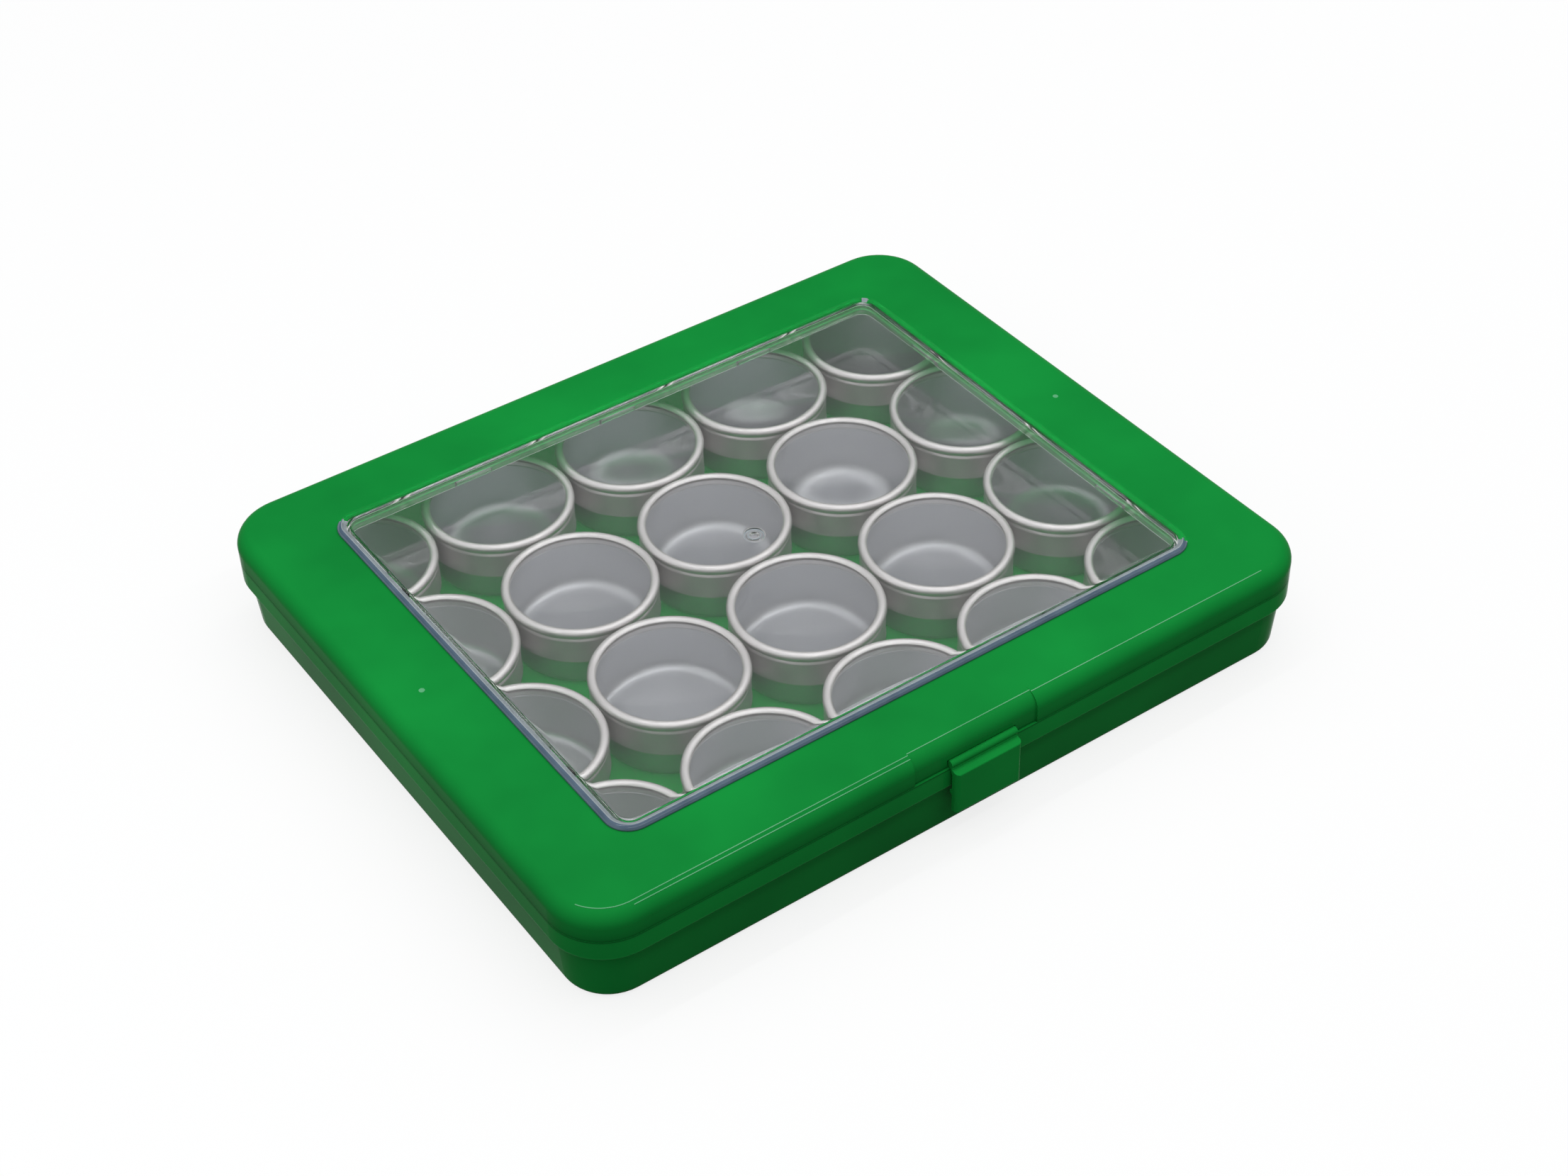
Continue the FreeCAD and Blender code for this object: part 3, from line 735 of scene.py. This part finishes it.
def paintedHighlightPath(tilt, fromX, toX, setBack, withCorner):
    # points on the rolled edge where its face is tilted by this angle
    inset = paintedHighlight["edgeRadius"] * (1 - math.cos(math.radians(tilt)))
    z = paintedHighlight["topZ"] - paintedHighlight["edgeRadius"] * (1 - math.sin(math.radians(tilt)))
    points = []
    if withCorner:
        reach = paintedHighlight["corner"] - inset
        for angle in range(*paintedHighlight["cornerArc"]):
            turn = math.radians(angle)
            points.append((paintedHighlight["corner"] - paintedHighlight["halfX"] + reach * math.cos(turn),
                           paintedHighlight["corner"] - paintedHighlight["halfY"] + reach * math.sin(turn), z))
    count = int((toX - fromX) / paintedHighlight["stepMm"])
    for step in range(count + 1):
        x = fromX + (toX - fromX) * step / count
        points.append((x, inset + setBack - paintedHighlight["halfY"], z))
    return [Vector(point) * mm for point in points]


lineTree = paintedHighlightTree()
for name, (*route, (fadeIn, fadeOut)) in paintedHighlight["lines"].items():
    path = lineObject(name + "Path", paintedHighlightPath(*route))
    line = bakeTree(lineTree, {
        "Path": path, "Line radius": paintedHighlight["lineRadius"] * mm, "Sides": paintedHighlight["sides"],
        "Thin end": paintedHighlight["thinEnd"], "Fade in": fadeIn, "Fade out": fadeOut,
        "Finish": paintedHighlightGreen,
    }, name)
    bpy.data.objects.remove(path)
    addPiece(name, line, (), "lid", ())
print("rubbed edge ready")


# gate scars: two low nubs on the lid's side bars, pale with a painted highlight

gateNub = {"x": 72.2, "topZ": 22.0, "rise": 0.06, "radius": 0.55, "steps": 6,
           "dome": ((1.0, -0.05), (1.0, 0.2), (0.8, 0.7), (0.45, 0.95), (0.15, 1.0))}


def gateNubMesh(side):
    loops = []
    for share, rise in gateNub["dome"]:
        r = share * gateNub["radius"]
        loop = roundedLoop(r, r, r, gateNub["topZ"] + rise * gateNub["rise"], gateNub["steps"])
        loops.append([point + Vector((side * gateNub["x"], 0, 0)) * mm for point in loop])
    return loftMesh("gateNub", loops)


for side, name in ((-1, "gateNubLeft"), (1, "gateNubRight")):
    addPiece(name, gateNubMesh(side), (scarGreenPaintedHighlight,), "lid", ())
print("gate scars ready")


# stage: pale floor, soft studio light, camera at the photo's angle

def backdropRays(tree):
    # 1 for the rays that show the backdrop: camera, mirror and clear plate
    ray = addNode(tree, "ShaderNodeLightPath")
    first = addNode(tree, "ShaderNodeMath", {"operation": "MAXIMUM"},
                    {0: ray.outputs["Is Camera Ray"], 1: ray.outputs["Is Transmission Ray"]})
    both = addNode(tree, "ShaderNodeMath", {"operation": "MAXIMUM"},
                   {0: first.outputs["Value"], 1: ray.outputs["Is Glossy Ray"]})
    return both.outputs["Value"]


def stageFloor():
    # white paper to the eye, which keeps the shadow, and mid grey to light that bounces off it
    floor = {"size": 3.0, "glow": 0.8, "bounce": "808080"}
    mesh = bpy.data.meshes.new("floor")
    half = floor["size"] / 2
    mesh.from_pydata([(-half, -half, 0), (half, -half, 0), (half, half, 0), (-half, half, 0)],
                     [], [(0, 1, 2, 3)])
    piece = addObject("floor", mesh)
    material, tree, output = newMaterial("paperSweep")
    bounce = addNode(tree, "ShaderNodeBsdfDiffuse", {"Color": hexToLinear(floor["bounce"])})
    paper = addNode(tree, "ShaderNodeBsdfDiffuse", {"Color": white})
    glow = addNode(tree, "ShaderNodeEmission", {"Color": white, "Strength": 1.0})
    sheet = addNode(tree, "ShaderNodeMixShader", {0: floor["glow"]},
                    {1: paper.outputs["BSDF"], 2: glow.outputs["Emission"]})
    mix = addNode(tree, "ShaderNodeMixShader", {},
                  {0: backdropRays(tree), 1: bounce.outputs["BSDF"],
                   2: sheet.outputs["Shader"]})
    tree.links.new(mix.outputs["Shader"], output.inputs["Surface"])
    mesh.materials.append(material)


def studioLight():
    # mirrored surfaces see white up to the top of the sweep, a dark wall and a dim ceiling
    sky = {"mirrored": ((0.28, 1.0), (0.42, 0.05), (0.58, 0.05), (0.74, 0.30)),
           "throughPlate": 0.85, "soft": (0.04, 1.5), "softTone": "fafbfc", "falloff": 2.0}
    world = bpy.data.worlds.new("studio")
    bpy.context.scene.world = world
    world.use_nodes = True
    tree = world.node_tree
    tree.nodes.clear()
    output = tree.nodes.new("ShaderNodeOutputWorld")
    ray = addNode(tree, "ShaderNodeLightPath")
    way = addNode(tree, "ShaderNodeTexCoord")
    split = addNode(tree, "ShaderNodeSeparateXYZ", {}, {"Vector": way.outputs["Generated"]})
    sweep = addNode(tree, "ShaderNodeValToRGB", {}, {"Fac": split.outputs["Z"]})
    setShades(sweep.color_ramp, sky["mirrored"])
    inside = addNode(tree, "ShaderNodeMath",
                     {"operation": "MULTIPLY_ADD", 1: sky["throughPlate"]},
                     {0: ray.outputs["Is Transmission Ray"], 2: ray.outputs["Is Camera Ray"]})
    seen = addNode(tree, "ShaderNodeMath", {"operation": "MAXIMUM"},
                   {0: sweep.outputs["Color"], 1: inside.outputs["Value"]})
    height = addNode(tree, "ShaderNodeMath", {"operation": "MAXIMUM", 1: 0.0},
                     {0: split.outputs["Z"]})
    climb = addNode(tree, "ShaderNodeMath", {"operation": "POWER", 1: sky["falloff"]},
                    {0: height.outputs["Value"]})
    dome = addNode(tree, "ShaderNodeMapRange",
                   {"To Min": sky["soft"][0], "To Max": sky["soft"][1]},
                   {"Value": climb.outputs["Value"]})
    backdrop = addNode(tree, "ShaderNodeBackground", {"Color": white},
                       {"Strength": seen.outputs["Value"]})
    soft = addNode(tree, "ShaderNodeBackground", {"Color": hexToLinear(sky["softTone"])},
                   {"Strength": dome.outputs["Result"]})
    mix = addNode(tree, "ShaderNodeMixShader", {},
                  {0: backdropRays(tree), 1: soft.outputs["Background"],
                   2: backdrop.outputs["Background"]})
    tree.links.new(mix.outputs["Shader"], output.inputs["Surface"])


def studioLamps():
    # two long tubes overhead, side by side along the latch side, and a panel on the left
    lamps = {
        "rearTube": {"at": (0.25, 0.16, 0.96), "to": (0.25, 0, 0),
                     "size": (1.4, 0.012), "watts": 1.35},
        "frontTube": {"at": (0.25, -0.40, 0.88), "to": (0.25, 0, 0),
                      "size": (1.4, 0.05), "watts": 1.3},
        "leftPanel": {"at": (-0.55, 0.05, 0.30), "to": (0, 0, 0),
                      "size": (0.8, 0.4), "watts": 0.45},
    }
    for name, lamp in lamps.items():
        data = bpy.data.lights.new(name, "AREA")
        data.shape = "RECTANGLE"
        data.size, data.size_y = lamp["size"]
        data.energy = lamp["watts"]
        light = addObject(name, data)
        light.location = lamp["at"]
        aim = Vector(lamp["to"]) - Vector(lamp["at"])
        light.rotation_euler = aim.to_track_quat("-Z", "Y").to_euler()


def photoCamera():
    view = {"at": (-0.20801, -0.31390, 0.33180), "along": (0.42656, 0.62738, -0.65149),
            "roll": -1.628, "lens": 59.63, "sensor": 36.0, "nearest": 0.01}
    data = bpy.data.cameras.new("photoCamera")
    data.sensor_fit = "HORIZONTAL"
    data.sensor_width = view["sensor"]
    data.lens = view["lens"]
    data.clip_start = view["nearest"]
    camera = addObject("photoCamera", data)
    camera.location = view["at"]
    aim = Vector(view["along"]).to_track_quat("-Z", "Y")
    turn = aim @ Quaternion((0, 0, 1), math.radians(view["roll"]))
    camera.rotation_euler = turn.to_euler()
    bpy.context.scene.camera = camera


stageFloor()
studioLight()
studioLamps()
photoCamera()
bpy.context.scene.view_settings.view_transform = "Standard"
print("stage ready")
